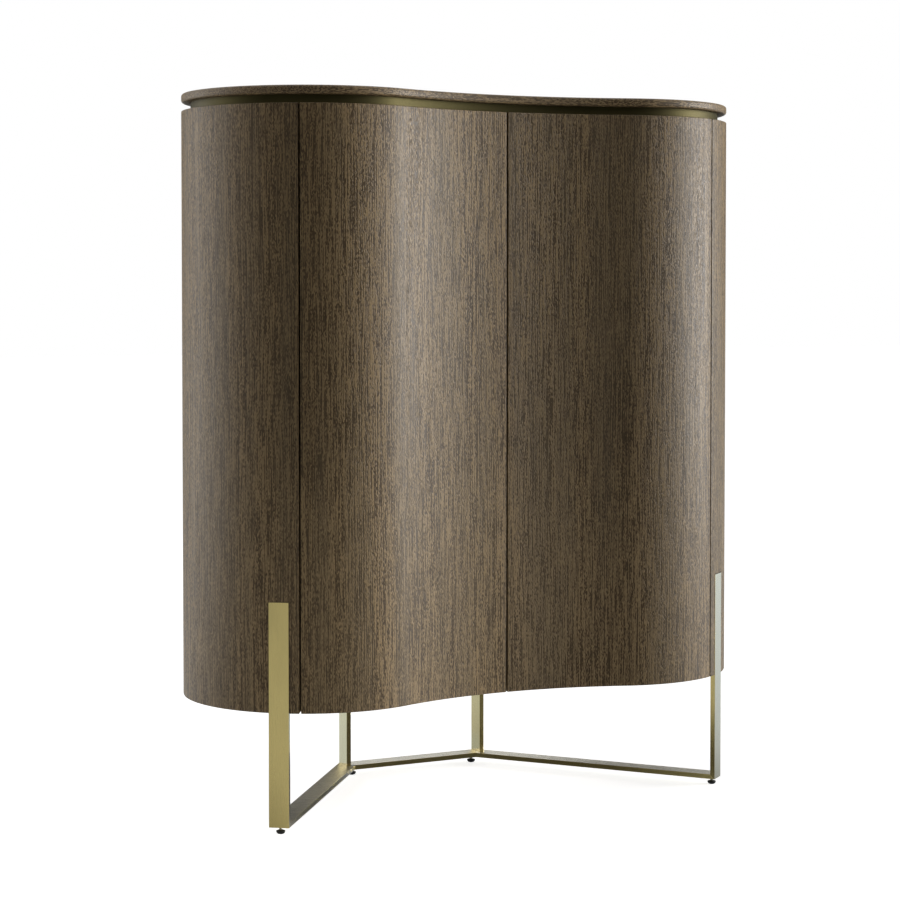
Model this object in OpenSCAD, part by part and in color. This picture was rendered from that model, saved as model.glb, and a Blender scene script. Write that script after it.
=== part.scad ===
// Highboard: two curved doors between two rounded end panels, on a flat-bar frame.
// Millimetres. The floor is Z = 0, the front faces -Y, and the origin lies midway between the sides.

/* [Plan outline] */
// Radius of the two rounded ends
lobe_r = 258; // [245:1:275]
// Distance from the middle of the cabinet to the middle of a rounded end
lobe_x = 342; // [330:1:365]
// Radius of the hollow in the front between the rounded ends
hollow_r = 695; // [640:5:760]
// Distance from the middle of the cabinet to the seam between a door and an end panel
seam_x = 466; // [450:1:485]

/* [Heights] */
// Height of the body's lower edge above the floor
body_z = 234; // [200:1:300]
// Height of the doors and the end panels
body_h = 1163; // [1000:1:1300]
// Height of the recess between the body and the top panel
recess_h = 17; // [12:1:30]
// Thickness of the top panel
top_t = 17; // [12:1:30]

/* [Panels] */
// Thickness of the doors
door_t = 22; // [20:0.5:26]
// Thickness of the curved end panels
end_t = 25; // [22:0.5:30]
// Thickness of the fixed panels at the top and bottom of the body
deck_t = 22; // [18:0.5:28]
// Thickness of the upright panel in the middle
partition_t = 25; // [20:0.5:30]
// Thickness of the back panel
back_t = 12; // [8:0.5:16]
// Thickness of the shelves
shelf_t = 19; // [15:0.5:25]
// How far a shelf's front edge lies behind the deck's front edge
shelf_setback = 5; // [2:1:40]

/* [Recess] */
// How far the recess band lies inside the outline
band_inset = 18.5; // [12:0.5:30]
// Thickness of the recess band
band_t = 2; // [1:0.5:4]

/* [Gaps] */
// Gap between the two doors
centre_gap = 3; // [2:0.1:5]
// Gap between a door and its end panel
side_gap = 2.5; // [1.5:0.1:4]
// Space between the back of a door and the decks
door_back_gap = 3; // [2:0.1:6]
// How much further back the rear corner of a door's free edge is cut
edge_bevel = 3.5; // [3:0.1:6]
// Gap between a shelf and the panels beside it
shelf_gap = 1.5; // [1:0.1:3]
// Clearance between curved or glued fixed panels
joint_fit = 0.2; // [0.1:0.05:0.4]
// Clearance all round a pin, dowel or screw in its hole
pin_fit = 0.05; // [0.02:0.01:0.1]

/* [Metal frame] */
// Width of the flat bar
bar_w = 40; // [30:1:50]
// Thickness of the flat bar
bar_t = 10; // [8:0.5:12]
// Height of the floor bars' underside above the floor
bar_z = 14; // [12:0.5:25]
// Angle of the front legs round the rounded ends, from straight ahead
leg_a = 38; // [36:0.5:42]
// How far the front legs rise above the body's lower edge
leg_rise = 213; // [150:1:260]
// Gap round a front leg in its slot
slot_gap = 1; // [0.5:0.1:2]
// Thickness of the plates on the rear legs
leg_plate_t = 4; // [3:0.5:6]
// Side of the square plates on the rear legs
leg_plate_w = 70; // [60:1:90]

/* [Levelling feet] */
// Radius of a foot's pad
pad_r = 9; // [7:0.5:14]
// Height of a foot's pad
pad_h = 8; // [6:0.5:11]
// Radius of a foot's stem
stem_r = 3; // [2.5:0.5:4]
// Depth of a foot's tapped hole in the floor bar
stem_depth = 8; // [6:0.5:9]
// Distance of a front foot from the outer face of the front leg
front_foot_inset = 13; // [13:1:60]
// Distance of a rear foot from the outer face of the rear leg
rear_foot_inset = 21; // [19:1:40]

/* [Hinges] */
// Distance from the end of a door to its outer hinges
hinge_end = 100; // [80:1:160]
// Distance from a door's edge to the middle of a hinge cup
cup_set = 22; // [21:0.5:24]
// Radius of a hinge cup's pocket
cup_r = 17.5; // [15:0.5:17.5]
// Depth of a hinge cup's pocket
cup_depth = 11.5; // [10:0.5:13]
// Thickness of a hinge cup's wall
cup_wall = 1; // [0.6:0.1:1.2]
// Distance from the seam to the middle of a hinge plate
plate_set = 33; // [30:1:45]
// Width of a hinge plate round the panel
plate_w = 40; // [34:1:44]
// Height of a hinge plate
plate_h = 48; // [44:1:60]
// Thickness of a hinge plate
plate_t = 4; // [3:0.5:5]
// Width of a hinge arm
arm_w = 12; // [8:0.5:14]
// Thickness of a hinge arm on its plate
arm_t = 8; // [6:0.5:10]

/* [Push latches] */
// Length of a latch housing
latch_l = 60; // [50:1:80]
// Thickness of a latch housing
latch_t = 14; // [12:0.5:18]
// Height of a latch housing
latch_h = 18; // [16:0.5:24]
// Radius of a latch plunger
plunger_r = 3; // [2:0.25:3.5]
// Length of a latch plunger
plunger_l = 42; // [36:1:46]
// How far a plunger can be pressed in
plunger_travel = 3; // [2:0.5:4]
// Radius of a strike plate
strike_r = 8; // [6:0.5:10]
// Thickness of a strike plate
strike_t = 1.5; // [1:0.1:2]

/* [Shelf pins] */
// Radius of a shelf pin
shelf_pin_r = 2.5; // [2:0.5:3]
// Depth of a shelf pin's hole
pin_depth = 9; // [8:0.5:10]
// How far a shelf pin stands out of its hole
pin_reach = 8; // [6:0.5:10]
// Distance between the holes of a row
hole_pitch = 32; // [25:1:40]

/* [Hidden] */
$fn = 32;
outline_fn = 180;

// Places and directions of the plan outline
back_y = lobe_r;
turn_a = asin(lobe_x / (lobe_r + hollow_r));
hollow_y = -sqrt(pow(lobe_r + hollow_r, 2) - pow(lobe_x, 2));
waist_y = hollow_y + hollow_r;
door_edge_a = asin((seam_x - side_gap / 2 - lobe_x) / lobe_r);
panel_edge_a = asin((seam_x + side_gap / 2 - lobe_x) / lobe_r);

// Where a rounded end turns into the hollow: the shapes overlap, and meet in a step too fine to see
turn_margin = 5;
turn_overlap = 10;
turn_step = 0.01;

// Heights
body_top = body_z + body_h;
top_z = body_top + recess_h;
inner_z = body_z + deck_t;
inner_top = body_top - deck_t;
middle_z = body_z + body_h / 2;

// Insets of the fixed panels from the outline
front_inset = door_t + door_back_gap;
end_inset = end_t + joint_fit;
back_inset = back_t + joint_fit;
partition_front = waist_y + front_inset;
inner_r = lobe_r - end_t;

// Shelves
shelf_count = 2;
shelf_pin_angles = [62, 125];
shelf_pin_depths = [-110, 165];
collar_r = 4;
collar_t = 0.8;
collar_seat = 0.1;

// Hinges: seats and clearances measured inwards from the seam's outer corner
hinge_heights = [body_z + hinge_end, middle_z, body_top - hinge_end];
flange_t = 1;
flange_lip = 2.5;
flange_seat = door_t + 0.5;
flange_top = flange_seat + flange_t;
cup_floor = door_t - cup_depth;
arm_gap = 1.5;
tip_gap = 0.8;
tip_near = cup_set + 1;
tip_far = cup_set + 8;
tip_start = cup_floor + joint_fit + cup_wall + tip_gap;
neck_y = max(end_t, flange_top) + arm_gap;
neck_t = 6.5;
plate_a = panel_edge_a + asin(plate_set / inner_r);
plate_swing = plate_a - door_edge_a;
plate_screw_z = plate_h / 2 - 8;

// Screws: shaft radius, then length in the last panel
wood_screw_r = 2;
wood_screw_head = 3.6;
wood_screw_head_t = 2;
hinge_screw_depth = 12;
latch_screw_depth = 10;
latch_screw_z = latch_h / 2 - 3;
latch_screw_ends = [12, latch_l - 12];
back_screw_depth = 18;
back_screw_xs = [-290, -100, 100, 290];
back_screw_zs = [inner_z + 90, middle_z, inner_top - 90];
carcass_screw_r = 3;
carcass_screw_head = 5;
carcass_screw_depth = 28;
carcass_screw_ys = [-120, 40, 200];
top_screw_r = 3;
top_screw_head = 6;
top_screw_head_t = 3;
top_screw_depth = 10;
top_screw_inset = 50;
top_screw_angles = [40, 140];
top_screw_x = 60;
leg_screw_r = 3;
leg_screw_head = 5.5;
leg_screw_head_t = 3;
leg_screw_seat = inner_r - sqrt(pow(inner_r, 2) - pow(leg_screw_head, 2)) + 0.02;
leg_screw_depth = 7;
leg_screw_ends = [45, 38];
leg_plate_screw_depth = 14;
leg_plate_screw_edge = 10;

// Dowels between the decks and the end panels
dowel_r = 4;
dowel_in_panel = 12;
dowel_in_deck = 18;
dowel_angles = [65, 100, 140];

// Push latches
latch_y = partition_front + 4;
plunger_x = partition_t / 2 + latch_t / 2;
plunger_gap = 0.3;
strike_proud = 0.35;
door_back_y = hollow_y + sqrt(pow(hollow_r + door_t, 2) - pow(plunger_x, 2));
strike_y = door_back_y + strike_proud;
plunger_tip = strike_y + plunger_gap;

// Metal frame in plan: the outer and inner corners where a side bar meets the rear bar
leg_dir = [sin(leg_a), -cos(leg_a)];
leg_side = [cos(leg_a), sin(leg_a)];
function bar_point(along, across) = [lobe_x, 0] + along * leg_dir + across * leg_side;
function bar_along(y, across) = (across * sin(leg_a) - y) / cos(leg_a);
frame_outer = bar_point(bar_along(back_y, bar_w / 2), bar_w / 2);
frame_inner = bar_point(bar_along(back_y - bar_w, -bar_w / 2), -bar_w / 2);
bar_top = bar_z + bar_t;
leg_top = body_z + leg_rise;
front_foot = bar_point(lobe_r - front_foot_inset, 0);
rear_foot = [frame_outer[0] - rear_foot_inset, back_y - bar_w / 2];
leg_plate_x = frame_outer[0] - leg_plate_w / 2 - bar_t;
leg_plate_y = back_y - leg_plate_w;
stem_start = 3;

wood = [0.44, 0.38, 0.31];
inside_wood = [0.50, 0.44, 0.36];
metal = [0.62, 0.56, 0.38];
dark_metal = [0.26, 0.23, 0.15];
steel = [0.72, 0.72, 0.74];
black = [0.06, 0.06, 0.06];

// The same pieces on the left as on the right
module left() {
    mirror([1, 0, 0]) children();
}

module both_sides() {
    children();
    left() children();
}

// Frame on the right rounded end at an angle from straight ahead: outwards is -Y, and +X goes
// round towards the back
module at_lobe(angle) {
    translate([lobe_x, 0, 0]) rotate([0, 0, angle]) children();
}

// Frame at the outer corner of the right door's hinged edge, where +Y goes into the cabinet
module at_hinge_axis() {
    at_lobe(door_edge_a) translate([0, -lobe_r, 0]) children();
}

// Frame on the inner face of the right end panel, where +Y goes into the cabinet
module at_inner_face(angle) {
    at_lobe(angle) translate([0, -inner_r, 0]) children();
}

// Rod along +Y from the origin
module rod_y(radius, length) {
    rotate([-90, 0, 0]) cylinder(r = radius, h = length);
}

// Rod along +X from the origin
module rod_x(radius, length) {
    rotate([0, 90, 0]) cylinder(r = radius, h = length);
}

// Part of a disc on the right rounded end, between two angles from straight ahead
module lobe_sector(radius, from_angle, to_angle) {
    steps = 6;
    translate([lobe_x, 0]) intersection() {
        circle(r = radius, $fn = outline_fn);
        polygon(concat([[0, 0]], [for (i = [0:steps])
            let (angle = from_angle + (to_angle - from_angle) * i / steps)
            2 * radius * [sin(angle), -cos(angle)]]));
    }
}

// The outline between the middles of the rounded ends, hollow in front and straight at the back
module waist(front, back) {
    turn_reach = lobe_r - front + turn_margin;
    turn_x = lobe_x - turn_reach * sin(turn_a);
    turn_y = -turn_reach * cos(turn_a);
    difference() {
        polygon([[lobe_x, 0], [lobe_x, back_y - back], [-lobe_x, back_y - back], [-lobe_x, 0],
            [-turn_x, turn_y], [turn_x, turn_y]]);
        translate([0, hollow_y]) circle(r = hollow_r + front - turn_step, $fn = outline_fn);
    }
}

// The whole outline, moved inwards by its own amount along the doors, round the ends and behind
module plan(front, end, back) {
    start_a = -turn_a - turn_overlap;
    waist(front, back);
    both_sides() {
        lobe_sector(lobe_r - max(front, end), start_a, 180);
        if (front < end) lobe_sector(lobe_r - front, start_a, panel_edge_a);
        if (end < front) lobe_sector(lobe_r - end, panel_edge_a, 180);
    }
}

module even_plan(inset) {
    plan(inset, inset, inset);
}

// Panels that close the body

module top_panel() {
    color(wood) difference() {
        translate([0, 0, top_z]) linear_extrude(height = top_t) even_plan(0);
        top_screw_places() cylinder(r = top_screw_r + pin_fit, h = top_z + top_screw_depth + 0.5);
    }
}

module recess_band() {
    color(dark_metal) translate([0, 0, body_top]) linear_extrude(height = recess_h) difference() {
        even_plan(band_inset);
        even_plan(band_inset + band_t);
    }
}

module top_spacer() {
    color(black) difference() {
        translate([0, 0, body_top]) linear_extrude(height = recess_h)
            even_plan(band_inset + band_t + joint_fit);
        top_screw_places() cylinder(r = top_screw_r + pin_fit, h = top_z + 1);
    }
}

module deck(z) {
    translate([0, 0, z]) linear_extrude(height = deck_t) plan(front_inset, end_inset, back_inset);
}

module top_deck() {
    color(inside_wood) difference() {
        deck(inner_top);
        top_screw_places() cylinder(r = top_screw_r + pin_fit, h = body_top + 1);
        translate([0, 0, body_top]) mirror([0, 0, 1]) carcass_screw_places() carcass_screw(pin_fit);
        back_screw_places(inner_top + deck_t / 2) back_screw(pin_fit);
        dowel_places(inner_top + deck_t / 2) dowel(pin_fit);
    }
}

module bottom_deck() {
    color(inside_wood) difference() {
        deck(body_z);
        translate([0, 0, body_z]) carcass_screw_places() carcass_screw(pin_fit);
        back_screw_places(body_z + deck_t / 2) back_screw(pin_fit);
        dowel_places(body_z + deck_t / 2) dowel(pin_fit);
        both_sides() leg_plate_screw_places() cylinder(r = wood_screw_r + pin_fit,
            h = leg_plate_screw_depth + 0.5);
    }
}

module end_panel() {
    color(wood) difference() {
        translate([0, 0, body_z]) linear_extrude(height = body_h) difference() {
            lobe_sector(lobe_r, panel_edge_a, 180);
            translate([lobe_x, 0]) circle(r = inner_r, $fn = outline_fn);
        }
        leg_slot();
        leg_screw_places() rod_y(leg_screw_r + pin_fit, 2 * end_t);
        for (z = hinge_heights) {
            at_inner_face(plate_a) translate([0, 0, z]) {
                translate([-plate_w / 2 - slot_gap, 0, -plate_h / 2 - slot_gap])
                    cube([plate_w + 2 * slot_gap, end_t, plate_h + 2 * slot_gap]);
                for (side = [-1, 1])
                    translate([0, -hinge_screw_depth - 0.5, side * plate_screw_z])
                        rod_y(wood_screw_r + pin_fit, end_t);
            }
        }
        end_panel_dowels(body_z + deck_t / 2) dowel(pin_fit);
        end_panel_dowels(inner_top + deck_t / 2) dowel(pin_fit);
        for (z = shelf_hole_heights(), angle = shelf_pin_angles)
            at_inner_face(angle) translate([0, -pin_depth, z])
                rod_y(shelf_pin_r + pin_fit, pin_depth + end_t);
    }
}

module back_panel() {
    color(inside_wood) difference() {
        translate([-lobe_x + joint_fit, back_y - back_t, body_z])
            cube([2 * (lobe_x - joint_fit), back_t, body_h]);
        all_back_screw_places() back_screw(pin_fit);
    }
}

module partition() {
    color(inside_wood) difference() {
        translate([-partition_t / 2, partition_front, inner_z])
            cube([partition_t, back_y - back_inset - partition_front, inner_top - inner_z]);
        translate([0, 0, body_z]) carcass_screw_places() carcass_screw(pin_fit);
        translate([0, 0, body_top]) mirror([0, 0, 1]) carcass_screw_places() carcass_screw(pin_fit);
        middle_back_screw_places() back_screw(pin_fit);
        both_sides() {
            latch_screw_places() mirror([1, 0, 0])
                rod_x(wood_screw_r + pin_fit, latch_screw_depth + 0.5);
            for (z = shelf_hole_heights(), y = shelf_pin_depths)
                translate([partition_t / 2 - pin_depth, y, z])
                    rod_x(shelf_pin_r + pin_fit, pin_depth + 1);
        }
    }
}

// Doors: the strip between the outline and the same outline a door's thickness further in

module door_plan() {
    reach = 2 * lobe_r;
    free_x = centre_gap / 2;
    edge_reach = lobe_x + reach * sin(door_edge_a);
    difference() {
        intersection() {
            even_plan(0);
            polygon([[0, 0], [lobe_x, 0], [edge_reach, -reach * cos(door_edge_a)],
                [0, -reach * cos(door_edge_a)]]);
        }
        even_plan(door_t);
        polygon([[-1, waist_y - door_t], [free_x, waist_y - door_t], [free_x, waist_y],
            [free_x + edge_bevel, waist_y + door_t], [free_x + edge_bevel, waist_y + 2 * door_t],
            [-1, waist_y + 2 * door_t]]);
    }
}

module door() {
    color(wood) difference() {
        translate([0, 0, body_z]) linear_extrude(height = body_h) door_plan();
        for (z = hinge_heights) {
            at_hinge_axis() translate([-cup_set, cup_floor, z]) rod_y(cup_r, 2 * door_t);
            at_hinge_axis() translate([-cup_set, flange_seat, z])
                rod_y(cup_r + flange_lip + joint_fit, door_t);
        }
        translate([plunger_x, strike_y - strike_t, middle_z])
            rod_y(strike_r + pin_fit, door_t);
    }
}

// Shelves and their pins

function shelf_z(i) = inner_z + (inner_top - inner_z) * i / (shelf_count + 1) - shelf_t / 2;

function shelf_hole_heights() = [for (i = [1:shelf_count], step = [-1:1])
    shelf_z(i) - shelf_pin_r + step * hole_pitch];

module shelf(i) {
    color(inside_wood) translate([0, 0, shelf_z(i)]) linear_extrude(height = shelf_t)
        intersection() {
            plan(front_inset + shelf_setback, end_t + shelf_gap, back_t + shelf_gap);
            translate([partition_t / 2 + shelf_gap, -2 * lobe_r])
                square([2 * lobe_x, 4 * lobe_r]);
        }
}

// A pin along +Y into its hole, with a collar on the panel's face
module shelf_pin() {
    translate([0, 0.5 - pin_depth, 0]) rod_y(shelf_pin_r, pin_depth + pin_reach - 0.5);
    rod_y(collar_r, collar_t);
}

module shelf_pins() {
    color(steel) for (i = [1:shelf_count]) {
        z = shelf_z(i) - shelf_pin_r;
        for (angle = shelf_pin_angles)
            at_inner_face(angle) translate([0, collar_seat, z]) shelf_pin();
        for (y = shelf_pin_depths)
            translate([partition_t / 2, y, z]) rotate([0, 0, -90]) shelf_pin();
    }
}

// Hinges

module hinge_cups() {
    color(steel) for (z = hinge_heights) at_hinge_axis() translate([-cup_set, 0, z]) difference() {
        union() {
            translate([0, cup_floor + joint_fit, 0])
                rod_y(cup_r - joint_fit / 2, flange_seat - cup_floor - joint_fit);
            translate([0, flange_seat, 0]) rod_y(cup_r + flange_lip, flange_t);
        }
        translate([0, cup_floor + joint_fit + cup_wall, 0])
            rod_y(cup_r - joint_fit / 2 - cup_wall, door_t);
    }
}

// A point of the hinge plate's frame, in the frame at the hinge axis
function from_plate(x, y) = [
    inner_r * sin(plate_swing) + x * cos(plate_swing) - y * sin(plate_swing),
    lobe_r - inner_r * cos(plate_swing) + x * sin(plate_swing) + y * cos(plate_swing)];

module hinge_arms() {
    color(steel) for (z = hinge_heights) at_hinge_axis() translate([0, 0, z - arm_w / 2])
        linear_extrude(height = arm_w) polygon([[-tip_far, tip_start], [-tip_near, tip_start],
            [-tip_near, neck_y], from_plate(-plate_w / 2 - arm_gap, plate_t),
            from_plate(plate_w / 2, plate_t), from_plate(plate_w / 2, plate_t + arm_t),
            from_plate(-plate_w / 2, plate_t + arm_t), [-tip_far, neck_y + neck_t]]);
}

module hinge_plates() {
    color(steel) for (z = hinge_heights) at_inner_face(plate_a) translate([0, 0, z]) difference() {
        translate([-plate_w / 2, 0, -plate_h / 2]) cube([plate_w, plate_t, plate_h]);
        for (side = [-1, 1]) translate([0, -1, side * plate_screw_z])
            rod_y(wood_screw_r + pin_fit, plate_t + 2);
    }
}

module hinge_screws() {
    color(steel) for (z = hinge_heights, side = [-1, 1])
        at_inner_face(plate_a) translate([0, -hinge_screw_depth, z + side * plate_screw_z]) {
            rod_y(wood_screw_r, hinge_screw_depth + plate_t);
            translate([0, hinge_screw_depth + plate_t, 0]) rod_y(wood_screw_head, wood_screw_head_t);
        }
}

// Push latches on the partition, with a plunger against each door

module latch_screw_places() {
    for (i = [0, 1]) translate([partition_t / 2, latch_y + latch_screw_ends[i],
        middle_z + (1 - 2 * i) * latch_screw_z]) children();
}

module latch_housing() {
    color(black) difference() {
        translate([partition_t / 2, latch_y, middle_z - latch_h / 2])
            cube([latch_t, latch_l, latch_h]);
        translate([plunger_x, latch_y - 1, middle_z])
            rod_y(plunger_r + pin_fit, plunger_tip + plunger_l + plunger_travel + 2 - latch_y);
        latch_screw_places() translate([-1, 0, 0]) rod_x(wood_screw_r + pin_fit, latch_t + 2);
    }
}

module latch_plunger() {
    color(steel) translate([plunger_x, plunger_tip, middle_z]) rod_y(plunger_r, plunger_l);
}

module strike_plate() {
    color(steel) translate([plunger_x, strike_y - strike_t, middle_z]) rod_y(strike_r, strike_t);
}

module latch_screws() {
    color(steel) both_sides() latch_screw_places() {
        translate([-latch_screw_depth, 0, 0]) rod_x(wood_screw_r, latch_screw_depth + latch_t);
        translate([latch_t, 0, 0]) rod_x(wood_screw_head, wood_screw_head_t);
    }
}

// Metal frame

// Bar on the right front leg's line, with a profile drawn in distance outwards and height
module bar_across(profile) {
    at_lobe(leg_a) translate([-bar_w / 2, 0, 0]) rotate([90, 0, 90])
        linear_extrude(height = bar_w) polygon([for (p = profile) [-p[0], p[1]]]);
}

module leg_slot() {
    at_lobe(leg_a) translate([-bar_w / 2 - slot_gap, -lobe_r - bar_t, body_z - 1])
        cube([bar_w + 2 * slot_gap, 2 * bar_t + joint_fit, leg_rise + slot_gap + 1]);
}

module leg_screw_places() {
    for (z = [body_z + leg_screw_ends[0], leg_top - leg_screw_ends[1]])
        at_lobe(leg_a) translate([0, -lobe_r + bar_t - leg_screw_depth, z]) children();
}

module front_leg() {
    color(metal) difference() {
        bar_across([[lobe_r, bar_z], [lobe_r, leg_top], [lobe_r - bar_t, leg_top],
            [lobe_r - bar_t, bar_top]]);
        leg_screw_places() translate([0, -0.5, 0])
            rod_y(leg_screw_r + pin_fit, leg_screw_depth + 1);
    }
}

module side_bar() {
    color(metal) difference() {
        intersection() {
            bar_across([[lobe_r, bar_z], [lobe_r - bar_t, bar_top], [-2 * lobe_r, bar_top],
                [-2 * lobe_r, bar_z]]);
            linear_extrude(height = body_z) polygon([frame_outer, frame_inner,
                bar_point(lobe_r + 1, -bar_w), bar_point(lobe_r + 1, bar_w)]);
        }
        translate([front_foot[0], front_foot[1], 0]) stem_hole();
    }
}

module rear_bar() {
    color(metal) difference() {
        translate([0, 0, bar_z]) linear_extrude(height = bar_t) polygon([frame_inner, frame_outer,
            [-frame_outer[0], frame_outer[1]], [-frame_inner[0], frame_inner[1]]]);
        both_sides() translate([rear_foot[0], rear_foot[1], 0]) stem_hole();
    }
}

module rear_leg() {
    color(metal) translate([frame_outer[0] - bar_t, back_y - bar_w, bar_top])
        cube([bar_t, bar_w, body_z - leg_plate_t - bar_top]);
}

module leg_plate() {
    color(metal) difference() {
        translate([leg_plate_x, leg_plate_y, body_z - leg_plate_t])
            cube([leg_plate_w, leg_plate_w, leg_plate_t]);
        leg_plate_screw_places() translate([0, 0, -leg_plate_t - 1])
            cylinder(r = wood_screw_r + pin_fit, h = leg_plate_t + 2);
    }
}

// Screws through a rear leg's plate, two on each side of the leg's line
module leg_plate_screw_places() {
    for (x = [leg_plate_screw_edge, leg_plate_w - leg_plate_screw_edge],
        y = [leg_plate_screw_edge, leg_plate_w - back_t - 2 * leg_plate_screw_edge])
        translate([leg_plate_x + x, leg_plate_y + y, body_z]) children();
}

module leg_plate_screws() {
    color(steel) both_sides() leg_plate_screw_places() {
        translate([0, 0, -leg_plate_t]) cylinder(r = wood_screw_r,
            h = leg_plate_t + leg_plate_screw_depth);
        translate([0, 0, -leg_plate_t - wood_screw_head_t])
            cylinder(r = wood_screw_head, h = wood_screw_head_t);
    }
}

module front_leg_screws() {
    length = leg_screw_depth + end_t - bar_t + leg_screw_seat;
    color(steel) both_sides() leg_screw_places() {
        rod_y(leg_screw_r, length);
        translate([0, length, 0]) rod_y(leg_screw_head, leg_screw_head_t);
    }
}

// Levelling feet

module stem_hole() {
    translate([0, 0, bar_z - 1]) cylinder(r = stem_r + pin_fit, h = stem_depth + 1);
}

module foot_pad() {
    color(black) difference() {
        union() {
            cylinder(r = pad_r, h = pad_h / 2);
            translate([0, 0, pad_h / 2]) cylinder(r1 = pad_r, r2 = stem_r + 2, h = pad_h / 2);
        }
        translate([0, 0, stem_start]) cylinder(r = stem_r + pin_fit, h = pad_h);
    }
}

module foot_stem() {
    color(steel) translate([0, 0, stem_start])
        cylinder(r = stem_r, h = bar_z + stem_depth - 0.5 - stem_start);
}

module at_front_foot() {
    translate([front_foot[0], front_foot[1], 0]) children();
}

module at_rear_foot() {
    translate([rear_foot[0], rear_foot[1], 0]) children();
}

// Screws and dowels of the body

module carcass_screw_places() {
    for (y = carcass_screw_ys) translate([0, y, 0]) children();
}

// Countersunk screw along +Z with its head flush at the origin, all over by a clearance
module carcass_screw(clearance) {
    cylinder(r1 = carcass_screw_head + clearance, r2 = carcass_screw_r + clearance, h = 3);
    cylinder(r = carcass_screw_r + clearance, h = deck_t + carcass_screw_depth + 10 * clearance);
}

module carcass_screws() {
    color(steel) {
        translate([0, 0, body_z]) carcass_screw_places() carcass_screw(0);
        translate([0, 0, body_top]) mirror([0, 0, 1]) carcass_screw_places() carcass_screw(0);
    }
}

// Countersunk screw from the back along -Y, with its head flush with the back
module back_screw(clearance) {
    rotate([90, 0, 0]) {
        cylinder(r1 = wood_screw_head + clearance, r2 = wood_screw_r + clearance, h = 2);
        cylinder(r = wood_screw_r + clearance, h = back_t + back_screw_depth + 10 * clearance);
    }
}

module back_screw_places(z) {
    for (x = back_screw_xs) translate([x, back_y, z]) children();
}

module middle_back_screw_places() {
    for (z = back_screw_zs) translate([0, back_y, z]) children();
}

module all_back_screw_places() {
    back_screw_places(body_z + deck_t / 2) children();
    back_screw_places(inner_top + deck_t / 2) children();
    middle_back_screw_places() children();
}

module back_screws() {
    color(steel) all_back_screw_places() back_screw(0);
}

module top_screw_places() {
    both_sides() {
        for (angle = top_screw_angles)
            at_lobe(angle) translate([0, -lobe_r + top_screw_inset, 0]) children();
        for (y = [waist_y + top_screw_inset, back_y - top_screw_inset])
            translate([top_screw_x, y, 0]) children();
    }
}

module top_screws() {
    color(steel) top_screw_places() {
        translate([0, 0, inner_top]) cylinder(r = top_screw_r,
            h = deck_t + recess_h + top_screw_depth);
        translate([0, 0, inner_top - top_screw_head_t])
            cylinder(r = top_screw_head, h = top_screw_head_t);
    }
}

module end_panel_dowels(z) {
    for (angle = dowel_angles) at_inner_face(angle) translate([0, 0, z]) children();
}

module dowel_places(z) {
    both_sides() end_panel_dowels(z) children();
}

module dowel(clearance) {
    translate([0, -dowel_in_panel - 10 * clearance, 0])
        rod_y(dowel_r + clearance, dowel_in_panel + dowel_in_deck + 20 * clearance);
}

module dowels() {
    color(inside_wood) {
        dowel_places(body_z + deck_t / 2) dowel(0);
        dowel_places(inner_top + deck_t / 2) dowel(0);
    }
}

top_panel();
recess_band();
top_spacer();
top_deck();
bottom_deck();
left() end_panel();  // left_end_panel
end_panel();  // right_end_panel
back_panel();
partition();
left() door();  // left_door
door();  // right_door
left() shelf(1);  // left_lower_shelf
left() shelf(2);  // left_upper_shelf
shelf(1);  // right_lower_shelf
shelf(2);  // right_upper_shelf
left() shelf_pins();  // left_shelf_pins
shelf_pins();  // right_shelf_pins
left() hinge_cups();  // left_hinge_cups
hinge_cups();  // right_hinge_cups
left() hinge_arms();  // left_hinge_arms
hinge_arms();  // right_hinge_arms
left() hinge_plates();  // left_hinge_plates
hinge_plates();  // right_hinge_plates
left() hinge_screws();  // left_hinge_screws
hinge_screws();  // right_hinge_screws
left() latch_housing();  // left_latch_housing
latch_housing();  // right_latch_housing
left() latch_plunger();  // left_latch_plunger
latch_plunger();  // right_latch_plunger
left() strike_plate();  // left_strike_plate
strike_plate();  // right_strike_plate
latch_screws();
left() front_leg();  // left_front_leg
front_leg();  // right_front_leg
left() rear_leg();  // left_rear_leg
rear_leg();  // right_rear_leg
left() side_bar();  // left_side_bar
side_bar();  // right_side_bar
rear_bar();
left() leg_plate();  // left_leg_plate
leg_plate();  // right_leg_plate
front_leg_screws();
leg_plate_screws();
left() at_front_foot() foot_pad();  // left_front_foot
at_front_foot() foot_pad();  // right_front_foot
left() at_rear_foot() foot_pad();  // left_rear_foot
at_rear_foot() foot_pad();  // right_rear_foot
left() at_front_foot() foot_stem();  // left_front_stem
at_front_foot() foot_stem();  // right_front_stem
left() at_rear_foot() foot_stem();  // left_rear_stem
at_rear_foot() foot_stem();  // right_rear_stem
back_screws();
carcass_screws();
top_screws();
dowels();
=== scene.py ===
"""Visual model of a highboard with rounded ends and a hollow front, on a flat-bar frame."""

import math

import bmesh
import bpy
from mathutils import Matrix, Vector


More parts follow.
